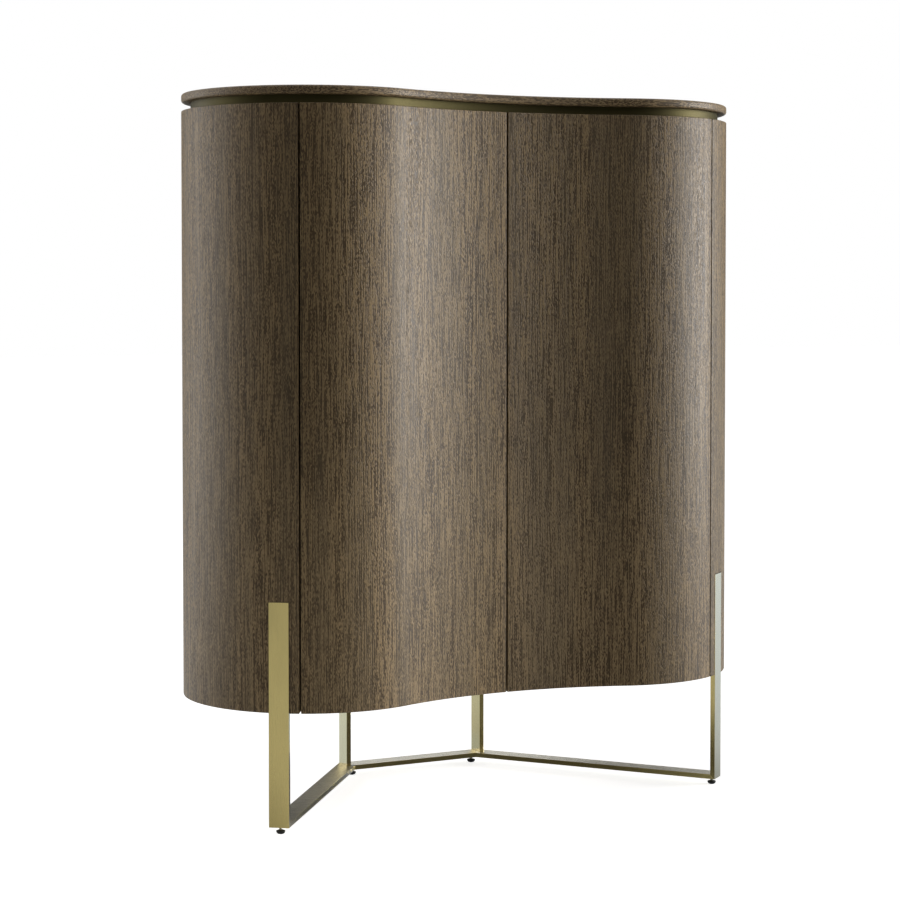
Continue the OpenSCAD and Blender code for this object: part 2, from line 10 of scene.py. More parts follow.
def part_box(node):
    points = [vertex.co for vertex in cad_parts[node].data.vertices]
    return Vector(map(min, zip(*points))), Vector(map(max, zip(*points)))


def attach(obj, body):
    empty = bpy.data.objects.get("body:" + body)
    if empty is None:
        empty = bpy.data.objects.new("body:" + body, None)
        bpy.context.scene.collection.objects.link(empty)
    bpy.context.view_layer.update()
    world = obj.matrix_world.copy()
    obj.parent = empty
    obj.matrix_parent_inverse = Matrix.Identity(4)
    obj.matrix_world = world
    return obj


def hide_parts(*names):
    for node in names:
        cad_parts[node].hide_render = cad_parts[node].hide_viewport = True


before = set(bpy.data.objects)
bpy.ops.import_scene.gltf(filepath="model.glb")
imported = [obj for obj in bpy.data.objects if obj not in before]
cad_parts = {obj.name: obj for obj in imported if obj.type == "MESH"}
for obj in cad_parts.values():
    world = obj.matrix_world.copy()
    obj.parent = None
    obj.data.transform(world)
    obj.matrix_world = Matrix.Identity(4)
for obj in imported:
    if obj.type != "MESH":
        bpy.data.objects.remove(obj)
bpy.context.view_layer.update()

bl_info = {
    "name": "Highboard",
    "version": (1, 0, 0),
    "blender": (4, 5, 0),
    "location": "3D View > Sidebar > Highboard",
    "description": "Panels, curved doors, metal frame, fittings and studio of a highboard",
    "category": "Object",
}

SIDES = {"right": 1.0, "left": -1.0}
UP = Vector((0.0, 0.0, 1.0))
ALONG_Y = Matrix.Rotation(math.radians(-90.0), 4, "X")

# Steps of curves, segments of rounded edges, the angle from which an edge counts as sharp, and the
# distance within which points are one
ARC_STEP = math.radians(2.0)
ROD_STEPS, STEM_STEPS, CUP_STEPS, PAD_STEPS = 24, 32, 48, 64
EDGE_SEGMENTS, PAD_SEGMENTS, TOP_SEGMENTS = 2, 4, 5
SHARP_ANGLE = math.radians(32.0)
WELD = 1e-5

# Profile of a foot's pad, in shares of its radius and of its height
PAD_PROFILE = ((0.0, 0.0), (0.40, 0.0), (0.68, 0.10), (0.87, 0.29), (0.97, 0.52), (1.0, 0.74),
               (0.97, 0.82), (0.62, 0.88), (0.54, 1.0))

# Noise of the finishes: features per metre across the grain and along it, detail and roughness
VENEER_NOISE = {
    "long_lines": (560.0, 2.5, 0.0, 0.5), "short_lines": (600.0, 16.0, 0.0, 0.5),
    "flecks": (700.0, 170.0, 0.0, 0.5), "rows": (60.0, 1.6, 2.0, 0.55),
    "figure": (18.0, 0.8, 2.0, 0.5), "pores": (900.0, 110.0, 0.0, 0.5)}
METAL_LINES, METAL_CLOUDS = (1500.0, 20.0, 2.0, 0.6), (30.0, 9.0, 2.0, 0.5)

# Ranges that are spread over 0 to 1, or over their last two numbers
VENEER_RANGES = {
    "lines": (1.25, 1.45), "figure": (0.40, 0.64, 0.05, 0.35), "rows": (0.36, 0.62, 0.20, 0.42),
    "pores": (0.50, 0.62), "roughness": (0.0, 1.0, 0.44, 0.85)}
# The last of these is the slant over which the frame metal's colour turns to a painted whitish sheen
MIDDLE, WIDE_MIDDLE, PAINTED_SHEEN_SLANT = (0.3, 0.7), (0.25, 0.75), (0.45, 0.90)
DUST_RANGE, PEBBLE_ROUGHNESS = (0.5, 0.8, 0.0, 0.5), (0.3, 0.7, 0.38, 0.52)

# Veneer: how often and how far the grain sways, the share of its long lines, its gloss and relief,
# how bright each panel is, as painted light on the left door and painted shade on the right door and
# right end panel, and where in the pattern each is cut
SWAY_SCALE, SWAY_REACH = 2.5, 0.008
LONG_SHARE = 0.7
LACQUER_SPECULAR = 0.3
VENEER_DEPTH = 0.0004
# Each panel's brightness: painted light on the left door, painted shade on the right door and right
# end panel
PANEL_PAINTED_LIGHT = {"right_door": 0.88, "left_door": 1.07, "right_end": 0.88, "left_end": 1.0}
INSIDE_VENEER = {"tone_and_painted_light": 1.35, "bump": 0.1}
SHEETS = {"top": (0.3, 0.1, 0.7), "end": (0.0, 0.21, 0.13), "door": (0.0, 0.37, 0.29)}

# Metal: the shade of its clouds and lines, how far its lines change its roughness, its clear coat
# (whose roughness is a share of the metal's), its relief, and its kinds
CLOUD_SHADE, LINE_SHADE = 0.93, 0.06
SMOOTHER, ROUGHER = 0.05, 0.07
COAT_IOR, COAT_ROUGHNESS = 1.8, 0.7
METAL_DEPTH = 0.00005
UPRIGHT_METAL = {"roughness": 0.22, "grain": "Z", "coat": 0.6}
FLOOR_BAR_METAL = {"roughness": 0.30, "coat": 0.6, "streak": 0.9}
BAND_METAL = {"roughness": 0.50}
HINGE_STEEL = {"roughness": 0.25, "strength": 0.03}
SCREW_STEEL = {"roughness": 0.28}

# Plastic: features per metre of its pebbles and its dust, how pale dust is, and the pebbles' relief
PEBBLE_SCALE, DUST_SCALE = 2200.0, 160.0
DUST_GAIN, DUST_LIFT = 2.2, 0.004
PEBBLE_STRENGTH, PEBBLE_DEPTH = 0.25, 0.0001

# Floor: half its width, its speckles, where its own glow rises to white, and the painted shade that
# gloss shows on it under the cabinet
FLOOR_REACH, FLOOR_ROUGHNESS = 30.0, 0.9
SPECKLE_SCALE, SPECKLE_SHADE = 3.0, 0.99
GLOW_NEAR, GLOW_FAR = 1.0, 4.0
UNDERNEATH = (0.0, -0.12, 0.0)
UNDER_NEAR, UNDER_FAR = 0.30, 0.50

# Floor as gloss shows it: azimuth from straight ahead in degrees, level and tint
WARM, COOL = (1.0, 1.0, 0.94), (0.80, 0.90, 1.0)
SHEEN = ((-180.0, 0.50, WARM), (-150.0, 0.90, COOL), (-115.0, 0.60, COOL), (-77.0, 0.15, WARM),
         (-50.0, 0.80, WARM), (-20.0, 0.40, WARM), (20.0, 0.04, WARM), (50.0, 0.15, WARM),
         (103.0, 0.78, COOL), (150.0, 0.60, COOL))

# Room as gloss shows it: how steeply a direction climbs where the walls end and the ceiling begins
WALLS_END, CEILING_BEGINS = 0.28, 0.60

# Lamps: azimuth in degrees, distance, height, width and length, and whether it faces the floor
LAMPS = {
    "right_lamp": (69.0, 9.0, 1.6, (4.2, 3.6)), "left_lamp": (-125.0, 3.5, 1.4, (3.6, 3.0)),
    "top_lamp": (0.0, 0.3, 3.4, (2.4, 2.4)), "low_lamp": (-35.0, 1.0, 0.75, (1.6, 0.6), True)}
LAMP_TARGET = Vector((0.0, 0.0, 0.8))
SENSOR_WIDTH = 36.0
WHITE, BLACK = (1.0, 1.0, 1.0), (0.0, 0.0, 0.0)


def kind_of(make, **fixed):
    """A function that makes properties of one kind."""
    def property_of(name, description, default, **own):
        return make(name=name, description=description, default=default, **(fixed | own))

    return property_of


length = kind_of(bpy.props.FloatProperty, min=0.0, precision=4, unit="LENGTH")
amount = kind_of(bpy.props.FloatProperty, min=0.0, max=1.0, subtype="FACTOR")
watts = kind_of(bpy.props.FloatProperty, min=0.0, max=2000.0, subtype="POWER")
colour = kind_of(bpy.props.FloatVectorProperty, min=0.0, max=1.0, size=3, subtype="COLOR")
position = kind_of(bpy.props.FloatVectorProperty, size=3, subtype="TRANSLATION", unit="LENGTH")
millimetres = kind_of(bpy.props.FloatProperty, subtype="DISTANCE_CAMERA")
share = kind_of(bpy.props.FloatProperty)


def angle(name, description, degrees):
    return bpy.props.FloatProperty(
        name=name, description=description, default=math.radians(degrees), unit="ROTATION")


class HighboardShape(bpy.types.PropertyGroup):
    """Sizes of the cabinet and its frame"""
    end_radius: length("End radius", "Radius of the two rounded ends", 0.258)
    end_centre: length("End centre", "From the middle to the middle of a rounded end", 0.342)
    hollow_radius: length("Hollow radius", "Radius of the hollow in the front", 0.695)
    seam: length("Seam", "From the middle to the seam beside an end panel", 0.466)
    door: length("Door", "Thickness of a door", 0.022)
    end_panel: length("End panel", "Thickness of an end panel", 0.025)
    back_panel: length("Back panel", "Thickness of the back panel", 0.012)
    partition: length("Partition", "Thickness of the upright panel in the middle", 0.025)
    side_gap: length("Side gap", "Gap between a door and an end panel", 0.0025)
    centre_gap: length("Centre gap", "Gap between the two doors", 0.003)
    door_back_gap: length("Door back gap", "Space between the back of a door and the decks", 0.003)
    free_bevel: length("Free bevel", "How far the back of a door's free edge is cut back", 0.0035)
    shelf_gap: length("Shelf gap", "Gap between a shelf and the panels beside it", 0.0015)
    shelf_setback: length("Shelf setback", "How far a shelf lies behind the decks' front", 0.005)
    fit: length("Fit", "Clearance between fixed panels", 0.0002)
    band_inset: length("Band inset", "How far the recess band lies inside the outline", 0.0185)
    band: length("Band", "Thickness of the recess band", 0.002)
    leg_angle: angle("Leg angle", "Angle of the front legs round the rounded ends", 38.0)
    bar_width: length("Bar width", "Width of the flat bar", 0.040)
    bar: length("Bar", "Thickness of the flat bar", 0.010)
    slot_gap: length("Slot gap", "Gap round a front leg in its slot", 0.001)


class HighboardFittings(bpy.types.PropertyGroup):
    """Sizes of the hinges, latches, shelf pins and feet"""
    hinge_end: length("Hinge end", "From a door's end to its outer hinges", 0.100)
    cup_set: length("Cup set", "From a door's edge to the middle of a hinge cup", 0.022)
    cup_radius: length("Cup radius", "Radius of a hinge cup's pocket", 0.0175)
    cup_floor: length("Cup floor", "Wood left between a cup's pocket and the door's face", 0.0105)
    cup_wall: length("Cup wall", "Thickness of a hinge cup's wall", 0.001)
    flange_seat: length("Flange seat", "Depth of the flange's seat behind the door's edge", 0.0225)
    flange_lip: length("Flange lip", "How far a cup's flange stands out round the cup", 0.0025)
    plate_set: length("Plate set", "From the seam to the middle of a hinge plate", 0.033)
    plate_width: length("Plate width", "Width of a hinge plate round the panel", 0.040)
    plate_height: length("Plate height", "Height of a hinge plate", 0.048)
    plate: length("Plate", "Thickness of a hinge plate", 0.004)
    arm_width: length("Arm width", "Width of a hinge arm", 0.012)
    arm: length("Arm", "Thickness of a hinge arm on its plate", 0.008)
    neck: length("Neck", "Thickness of a hinge arm's neck", 0.0065)
    arm_gap: length("Arm gap", "Space between a hinge arm and the edges beside it", 0.0015)
    tip_gap: length("Tip gap", "Space between a hinge arm's tip and the cup's floor", 0.0008)
    tip_near: length("Tip near", "From a door's edge to the near side of an arm's tip", 0.023)
    tip_far: length("Tip far", "From a door's edge to the far side of an arm's tip", 0.030)
    strike_radius: length("Strike radius", "Radius of a strike plate's pocket", 0.00805)
    pin_radius: length("Pin radius", "Radius of a shelf pin's hole", 0.00255)
    pin_depth: length("Pin depth", "Depth of a shelf pin's hole", 0.009)
    hole_pitch: length("Hole pitch", "Distance between the holes of a row", 0.032)
    pin_front: angle("Front row", "Angle of the front row of holes round a rounded end", 62.0)
    pin_rear: angle("Rear row", "Angle of the rear row of holes round a rounded end", 125.0)
    stem_radius: length("Stem radius", "Radius of a foot's stem", 0.003)
    thread: length("Thread", "Distance between the turns of a stem's thread", 0.001)
    thread_depth: length("Thread depth", "Depth of a stem's thread", 0.0004)


class HighboardEdges(bpy.types.PropertyGroup):
    """How far the edges are rounded"""
    top: length("Top", "Rounding of the top panel's edge", 0.005)
    panels: length("Panels", "Rounding of the doors' and end panels' edges", 0.0016)
    bars: length("Bars", "Rounding of the flat bar's edges", 0.0006)
    feet: length("Feet", "Rounding of the feet", 0.0006)
    shelves: length("Shelves", "Rounding of the decks' and shelves' edges", 0.0005)
    fittings: length("Fittings", "Rounding of the hinges' and latches' edges", 0.0004)


class HighboardFinish(bpy.types.PropertyGroup):
    """Colours of the finishes"""
    veneer_grey: colour("Grey streaks", "The veneer's grey streaks", (0.145, 0.110, 0.064))
    veneer_dark: colour("Dark fibres", "The veneer's dark fibres", (0.066, 0.040, 0.0155))
    veneer_light: colour("Light fibres", "The veneer's light fibres", (0.300, 0.207, 0.102))
    veneer_pores: colour("Pores", "The veneer's pores", (0.026, 0.016, 0.007))
    brass: colour("Frame metal", "Colour of the satin metal frame", (0.61, 0.495, 0.185))
    # Painted sheen: the whitish colour that the frame metal turns to where it is seen at a slant
    painted_sheen: colour("Slanting metal", "The frame metal seen at a slant", (0.68, 0.67, 0.61))
    bronze: colour("Band metal", "Colour of the dark recess band", (0.052, 0.044, 0.018))
    steel: colour("Steel", "Colour of hinges, screws and pins", (0.60, 0.60, 0.61))
    black: colour("Black", "Colour of the feet and the latch housings", (0.004, 0.004, 0.004))


class HighboardStudio(bpy.types.PropertyGroup):
    """Camera, lamps and floor"""
    camera: position("Camera", "Place of the camera", (-2.2097, -4.2583, 1.0436))
    heading: angle("Heading", "How far the camera looks to the right of straight back", 27.115)
    pitch: angle("Pitch", "How far the camera looks down", 1.972)
    lens: millimetres("Lens", "Focal length", 92.46)
    shift: share("Shift", "Vertical shift of the lens, as a share of the picture's width", -0.09)
    right_lamp: watts("Right lamp", "Power of the soft lamp on the right", 990.0)
    left_lamp: watts("Left lamp", "Power of the soft lamp on the left", 88.0)
    top_lamp: watts("Top lamp", "Power of the soft lamp above", 6.0)
    low_lamp: watts("Low lamp", "Power of the soft lamp over the floor", 1.5)
    ambient: amount("Ambient", "Level of the light from all round", 0.035)
    ceiling: amount("Ceiling", "Level of the room high up, as gloss shows it", 1.9, max=3.0)
    walls: amount("Walls", "Level of the room low down, as gloss shows it", 0.08)
    # Painted shade: how dark gloss shows the floor under the cabinet
    painted_shade_under_cabinet: amount("Underneath", "Level of the floor under the cabinet, as gloss shows it", 0.08)
    floor: colour("Floor", "Colour of the floor", (0.82, 0.82, 0.81))
    floor_glow: amount("Floor glow", "How much the floor adds of its own, as the camera sees it", 0.80)
    floor_gloss: amount("Floor gloss", "How much the floor adds of its own, as gloss shows it", 0.70)


# Finishes

def feed(node, inputs):
    """Fills a node's inputs: an output is linked to its input, and any other value is set."""
    for socket, value in dict(inputs).items():
        if isinstance(value, bpy.types.NodeSocket):
            node.id_data.links.new(value, node.inputs[socket])
        else:
            node.inputs[socket].default_value = value


def node_adder(tree):
    """A function that adds a node to a tree, with its settings and what goes into it."""
    def add(kind, inputs=(), **settings):
        node = tree.nodes.new(kind)
        for key, value in settings.items():
            setattr(node, key, value)
        feed(node, inputs)
        return node

    return add


def new_material(name):
    """A material with its shader and a function that adds nodes to it."""
    material = bpy.data.materials.new(name)
    material.use_nodes = True
    tree = material.node_tree
    return material, tree.nodes["Principled BSDF"], node_adder(tree)


def maths(add, operation, *values):
    return add("ShaderNodeMath", dict(enumerate(values)), operation=operation).outputs[0]


def noise(add, coordinates, scale, detail):
    """Even noise with so many features per metre."""
    return add("ShaderNodeTexNoise", {
        "Vector": coordinates, "Scale": scale, "Detail": detail}).outputs["Fac"]


def stretched_noise(add, coordinates, across, along, detail, roughness, grain):
    """Noise with so many features per metre across the grain and along it."""
    scale = {"X": (along, across, across), "Z": (across, across, along)}[grain]
    mapped = add("ShaderNodeMapping", {"Vector": coordinates, "Scale": scale})
    return add("ShaderNodeTexNoise", {
        "Vector": mapped.outputs["Vector"], "Scale": 1.0, "Detail": detail,
        "Roughness": roughness}).outputs["Fac"]


def spread(add, value, low, high, to_low=0.0, to_high=1.0):
    """A value's range from low to high, spread smoothly over another range."""
    ranged = add("ShaderNodeMapRange", {
        "Value": value, "From Min": low, "From Max": high, "To Min": to_low, "To Max": to_high},
        interpolation_type="SMOOTHSTEP")
    return ranged.outputs["Result"]


def mixed(add, factor, one, other, blend="MIX"):
    """Two colours mixed by a factor. A colour is a socket or three numbers."""
    colours = [c if isinstance(c, bpy.types.NodeSocket) else (*c, 1.0) for c in (one, other)]
    node = add("ShaderNodeMix", {0: factor, 6: colours[0], 7: colours[1]},
               data_type="RGBA", blend_type=blend)
    return node.outputs[2]


def relief(add, height, strength, depth):
    """The normal of a surface with a shallow relief."""
    bump = add("ShaderNodeBump", {"Height": height, "Strength": strength, "Distance": depth})
    return bump.outputs["Normal"]


def veneer(name, finish, grain="Z", offset=(0.0, 0.0, 0.0), tone_and_painted_light=1.0, bump=0.4):
    """Lacquered straight-grained veneer: long and short lines, small pores and slow figure."""
    material, shader, add = new_material(name)
    place = add("ShaderNodeMapping", {
        "Vector": add("ShaderNodeTexCoord").outputs["Object"], "Location": offset})
    sway = add("ShaderNodeTexNoise", {
        "Vector": place.outputs["Vector"], "Scale": SWAY_SCALE, "Detail": 1.0})
    swayed = add("ShaderNodeVectorMath", {0: sway.outputs["Color"], "Scale": SWAY_REACH},
                 operation="SCALE")
    bent = add("ShaderNodeVectorMath", {
        0: place.outputs["Vector"], 1: swayed.outputs[0]}, operation="ADD").outputs[0]
    layer = {part: stretched_noise(add, bent, *sizes, grain)
             for part, sizes in VENEER_NOISE.items()}

    strands = maths(add, "ADD", layer["short_lines"], layer["flecks"])
    strands = maths(add, "MULTIPLY_ADD", layer["long_lines"], LONG_SHARE, strands)
    lines = spread(add, strands, *VENEER_RANGES["lines"])
    figure, density, pores = (spread(add, layer[part], *VENEER_RANGES[part])
                              for part in ("figure", "rows", "pores"))
    open_pores = maths(add, "MULTIPLY", pores, density)
    body = mixed(add, lines, finish.veneer_dark, finish.veneer_light)
    body = mixed(add, figure, body, finish.veneer_grey)
    body = mixed(add, open_pores, body, finish.veneer_pores)
    feed(shader, {
        # The tone multiplies the colour: a lighter inside veneer, painted light on the left door, and
        # painted shade on the right door and right end panel
        "Base Color": mixed(add, 1.0, body, 3 * (tone_and_painted_light,), blend="MULTIPLY"),
        "Roughness": spread(add, open_pores, *VENEER_RANGES["roughness"]),
        "Specular IOR Level": LACQUER_SPECULAR,
        "Normal": relief(add, maths(add, "SUBTRACT", lines, open_pores), bump, VENEER_DEPTH)})
    return material


def side_veneer(side, part, finish):
    """The veneer of one side's door or end panel, with its place in the pattern and its brightness,
    which is painted light on the left door and painted shade on the right door and end panel.
    """
    place = [SIDES[side] * distance for distance in SHEETS[part]]
    return veneer(f"{side}_{part}_veneer", finish, offset=place, tone_and_painted_light=PANEL_PAINTED_LIGHT[f"{side}_{part}"])


def brushed_metal(name, base, roughness, turn=0.0, grain="X", strength=0.08, coat=0.0, streak=0.0,
                  painted_sheen=None):
    """Satin metal with fine brushed lines along the bar, which lies turned by an angle in plan.

    A streak above 0 draws its highlights out across the lines, along the U of its map.
    Its colour turns to a painted whitish sheen where it is seen at a slant.
    """
    material, shader, add = new_material(name)
    turned = add("ShaderNodeMapping", {
        "Vector": add("ShaderNodeTexCoord").outputs["Object"], "Rotation": (0.0, 0.0, -turn)})
    lines, clouds = (stretched_noise(add, turned.outputs["Vector"], *sizes, grain)
                     for sizes in (METAL_LINES, METAL_CLOUDS))
    shade = mixed(add, spread(add, clouds, *MIDDLE), [CLOUD_SHADE * c for c in base], base)
    darker = mixed(add, LINE_SHADE, shade, BLACK)
    shade = mixed(add, spread(add, lines, *MIDDLE), darker, shade)
    # Painted sheen: the colour turns whitish where the metal is seen at a slant
    if painted_sheen:
        facing = add("ShaderNodeLayerWeight", {"Blend": 0.5}).outputs["Facing"]
        shade = mixed(add, spread(add, facing, *PAINTED_SHEEN_SLANT), shade, painted_sheen)
    feed(shader, {
        "Base Color": shade, "Metallic": 1.0,
        "Roughness": spread(add, lines, *WIDE_MIDDLE, roughness - SMOOTHER, roughness + ROUGHER),
        "Coat Weight": coat, "Coat Roughness": COAT_ROUGHNESS * roughness, "Coat IOR": COAT_IOR,
        "Normal": relief(add, lines, strength, METAL_DEPTH)})
    if streak:
        across = add("ShaderNodeTangent", direction_type="UV_MAP", uv_map="across")
        feed(shader, {"Anisotropic": streak, "Tangent": across.outputs["Tangent"]})
    return material


def moulded_black(name, base):
    """Black plastic with a fine pebbled skin and patches of dust."""
    material, shader, add = new_material(name)
    place = add("ShaderNodeTexCoord").outputs["Object"]
    pebbles, dust = noise(add, place, PEBBLE_SCALE, 1.0), noise(add, place, DUST_SCALE, 3.0)
    dusty = [min(1.0, DUST_GAIN * c + DUST_LIFT) for c in base]
    feed(shader, {
        "Base Color": mixed(add, spread(add, dust, *DUST_RANGE), base, dusty),
        "Roughness": spread(add, pebbles, *PEBBLE_ROUGHNESS),
        "Normal": relief(add, pebbles, PEBBLE_STRENGTH, PEBBLE_DEPTH)})
    return material


# Shapes

class Plan:
    """The cabinet in plan: its outline's arcs, its seams and the corners of its floor frame."""

    def __init__(self, shape):
        reach = shape.end_radius + shape.hollow_radius
        self.end = Vector((shape.end_centre, 0.0, 0.0))
        self.hollow = Vector((0.0, -math.sqrt(reach ** 2 - shape.end_centre ** 2), 0.0))
        self.turn = math.asin(shape.end_centre / reach)
        self.end_radius = shape.end_radius
        self.hollow_radius = shape.hollow_radius
        self.inner_radius = shape.end_radius - shape.end_panel
        self.door_edge = self.seam_angle(shape.seam - shape.side_gap / 2)
        self.panel_edge = self.seam_angle(shape.seam + shape.side_gap / 2)
        self.leg_angle = shape.leg_angle
        self.frame_outer = self.bar_point(shape.end_radius, shape.bar_width / 2)
        self.frame_inner = self.bar_point(shape.end_radius - shape.bar_width, -shape.bar_width / 2)

    def seam_angle(self, x):
        return math.asin((x - self.end.x) / self.end_radius)

    def bar_point(self, y, across):
        """Where a line along the side bar, so far across from its middle, reaches a depth."""
        along = (across * math.sin(self.leg_angle) - y) / math.cos(self.leg_angle)
        sideways = Vector((math.cos(self.leg_angle), math.sin(self.leg_angle), 0.0))
        return self.end + along * out_direction(self.leg_angle) + across * sideways

    def at_end(self, turned, radius=0.0):
        """Frame on the right rounded end: outwards is -Y, and +X goes round towards the back."""
        return (Matrix.Translation(self.end) @ Matrix.Rotation(turned, 4, "Z")
                @ Matrix.Translation((0.0, -radius, 0.0)))

    def hinge(self):
        """Frame at the outer corner of the right door's hinged edge."""
        return self.at_end(self.door_edge, self.end_radius)

    def hinge_plate(self, fittings):
        """Frame on the right end panel's inner face, in the middle of the hinge plates."""
        around = math.asin(fittings.plate_set / self.inner_radius)
        return self.at_end(self.panel_edge + around, self.inner_radius)


def out_direction(turned):
    """Outwards from a rounded end, at an angle from straight ahead."""
    return Vector((math.sin(turned), -math.cos(turned), 0.0))


def hinge_heights(fittings):
    low, high = (corner.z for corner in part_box("right_door"))
    return (low + fittings.hinge_end, (low + high) / 2, high - fittings.hinge_end)


def lathe(bm, geometry, centre, turned):
    """Spins vertices or edges round an upright axis, in steps too short to see."""
    made = bmesh.ops.spin(
        bm, geom=geometry, cent=centre, axis=UP, angle=turned, dvec=(0.0, 0.0, 0.0),
        steps=max(1, round(abs(turned) / ARC_STEP)), use_duplicate=False)
    return made["geom_last"]


def last_vertex(geometry):
    return next(v for v in geometry if isinstance(v, bmesh.types.BMVert))


def straight(bm, vertex, place):
    """Carries a path on in a straight line, and returns its new end."""
    if (place - vertex.co).length < WELD:
        return vertex
    new = bmesh.ops.extrude_vert_indiv(bm, verts=[vertex])["verts"]
    bmesh.ops.translate(bm, verts=new, vec=place - vertex.co)
    return new[0]


def half_outline(bm, plan, near, insets, z):
    """The outline's right half, from x = near in front round to x = near at the back.

    It is moved inwards by its own amount in front, round the end and behind.
    """
    front, end, back = insets
    radius = plan.hollow_radius + front
    begin = math.asin(near / radius)
    start = plan.hollow + radius * Vector((math.sin(begin), math.cos(begin), 0.0)) + z * UP
    first = bmesh.ops.create_vert(bm, co=start)["vert"][0]
    last = last_vertex(lathe(bm, [first], plan.hollow, begin - plan.turn))
    last = last_vertex(lathe(bm, [last], plan.end, plan.turn + plan.panel_edge))
    end_radius = plan.end_radius - end
    last = straight(bm, last, plan.end + end_radius * out_direction(plan.panel_edge) + z * UP)
    last = last_vertex(lathe(bm, [last], plan.end, math.pi - plan.panel_edge))
    back_y = plan.end_radius - back
    last = straight(bm, last, Vector((plan.end.x, back_y, z)))
    return first, straight(bm, last, Vector((near, back_y, z)))


def outline(bm, plan, insets, z):
    """One closed loop of edges along the whole outline, moved inwards."""
    half_outline(bm, plan, 0.0, insets, z)
    bmesh.ops.mirror(bm, geom=bm.verts[:] + bm.edges[:], axis="X", merge_dist=WELD)
    bmesh.ops.remove_doubles(bm, verts=bm.verts[:], dist=WELD)


def edge_across(bm, centre, direction, near, far, z):
    """A short edge from one radius to another, to be spun into a curved strip."""
    verts = [bmesh.ops.create_vert(bm, co=centre + radius * direction + z * UP)["vert"][0]
             for radius in (near, far)]
    return verts + [bm.edges.new(verts)]


def lift(bm, made, height):
    """Moves what an extrusion made upwards."""
    verts = [v for v in made["geom"] if isinstance(v, bmesh.types.BMVert)]
    bmesh.ops.translate(bm, verts=verts, vec=height * UP)


def raise_faces(bm, height):
    """Extrudes every face upwards into a closed solid."""
    lift(bm, bmesh.ops.extrude_face_region(bm, geom=bm.faces[:]), height)
    bmesh.ops.recalc_face_normals(bm, faces=bm.faces[:])


def round_edges(bm, width, segments=EDGE_SEGMENTS, spared=()):
    """Rounds every sharp edge, apart from those that lie in a spared plane."""
    def is_spared(edge):
        return any(all(abs((v.co - place).dot(direction)) < WELD for v in edge.verts)
                   for place, direction in spared)

    sharp = [e for e in bm.edges if e.calc_face_angle(0.0) > SHARP_ANGLE and not is_spared(e)]
    bmesh.ops.bevel(
        bm, geom=sharp, offset=width, offset_type="OFFSET", segments=segments, profile=0.5,
        affect="EDGES", clamp_overlap=True, material=-1)


def to_side(bm, sign):
    """Mirrors a shape made for the right side where the sign is the left side's."""
    if sign < 0:
        bmesh.ops.scale(bm, vec=(-1.0, 1.0, 1.0), verts=bm.verts[:])
        bmesh.ops.recalc_face_normals(bm, faces=bm.faces[:])


def to_object(bm, name):
    mesh = bpy.data.meshes.new(name)
    bm.to_mesh(mesh)
    bm.free()
    piece = bpy.data.objects.new(name, mesh)
    bpy.context.scene.collection.objects.link(piece)
    return piece


def cut(bm, cutters):
    """Takes the cutters' solids out of a shape."""
    bmesh.ops.recalc_face_normals(cutters, faces=cutters.faces[:])
    solid, tool = to_object(bm, "uncut"), to_object(cutters, "cutters")
    modifier = solid.modifiers.new("Cut", "BOOLEAN")
    modifier.object, modifier.operation, modifier.solver = tool, "DIFFERENCE", "EXACT"
    result = bmesh.new()
    result.from_object(solid, bpy.context.evaluated_depsgraph_get())
    for used in (solid, tool):
        mesh = used.data
        bpy.data.objects.remove(used)
        bpy.data.meshes.remove(mesh)
    return result


def add_box(bm, low, high, matrix):
    """A box between two corners, placed by a matrix, as part of a shape or a cutter."""
    low, high = Vector(low), Vector(high)
    size = Matrix.Diagonal((*(high - low), 1.0))
    bmesh.ops.create_cube(bm, size=1.0, matrix=matrix @ Matrix.Translation((low + high) / 2) @ size)


def add_turned(bm, profile, matrix, steps=CUP_STEPS):
    """A solid turned about a matrix's Z axis, from points given as radius and height."""
    others = set(bm.verts)
    verts = [bmesh.ops.create_vert(bm, co=(radius, 0.0, height))["vert"][0]
             for radius, height in profile]
    edges = [bm.edges.new(pair) for pair in zip(verts, verts[1:])]
    bmesh.ops.spin(bm, geom=verts + edges, axis=UP, angle=math.tau, steps=steps, use_merge=True,
                   use_duplicate=False)
    bmesh.ops.remove_doubles(bm, verts=[v for v in bm.verts if v not in others], dist=WELD / 10)
    bmesh.ops.transform(bm, matrix=matrix, verts=[v for v in bm.verts if v not in others])


def add_rod(bm, radius, low, high, matrix):
    """A rod along a matrix's Z axis, as a cutter."""
    add_turned(bm, [(0.0, low), (radius, low), (radius, high), (0.0, high)], matrix, ROD_STEPS)


def mitre(bm, place, direction):
    """Cuts a bar off at a plane, on the side that a direction points to."""
    made = bmesh.ops.bisect_plane(
        bm, geom=bm.verts[:] + bm.edges[:] + bm.faces[:], dist=WELD, plane_co=place,
        plane_no=direction, clear_outer=True)
    rim = [e for e in made["geom_cut"] if isinstance(e, bmesh.types.BMEdge)]
    bmesh.ops.contextual_create(bm, geom=rim)
    bmesh.ops.recalc_face_normals(bm, faces=bm.faces[:])


def piece_from(bm, name, material, body, slot, *nodes):
    """Turns a shape into a piece that rides on a body and stands for CAD nodes."""
    bmesh.ops.remove_doubles(bm, verts=bm.verts[:], dist=WELD / 10)
    bmesh.ops.recalc_face_normals(bm, faces=bm.faces[:])
    piece = to_object(bm, name)
    piece.data.materials.append(material)
    piece.data.shade_smooth()
    piece.data.set_sharp_from_angle(angle=SHARP_ANGLE)
    even = piece.modifiers.new("Even shading", "WEIGHTED_NORMAL")
    even.keep_sharp = True
    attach(piece, body)
    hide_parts(*nodes)


def dress(material, *nodes):
    """Gives CAD nodes a material."""
    for node in nodes:
        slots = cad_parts[node].data.materials
        slots.clear()
        slots.append(material)


def groups_of(context, *names):
    """The scene's groups of sizes and colours with these names."""
    return [getattr(context.scene, f"highboard_{name}") for name in names]


# Pieces

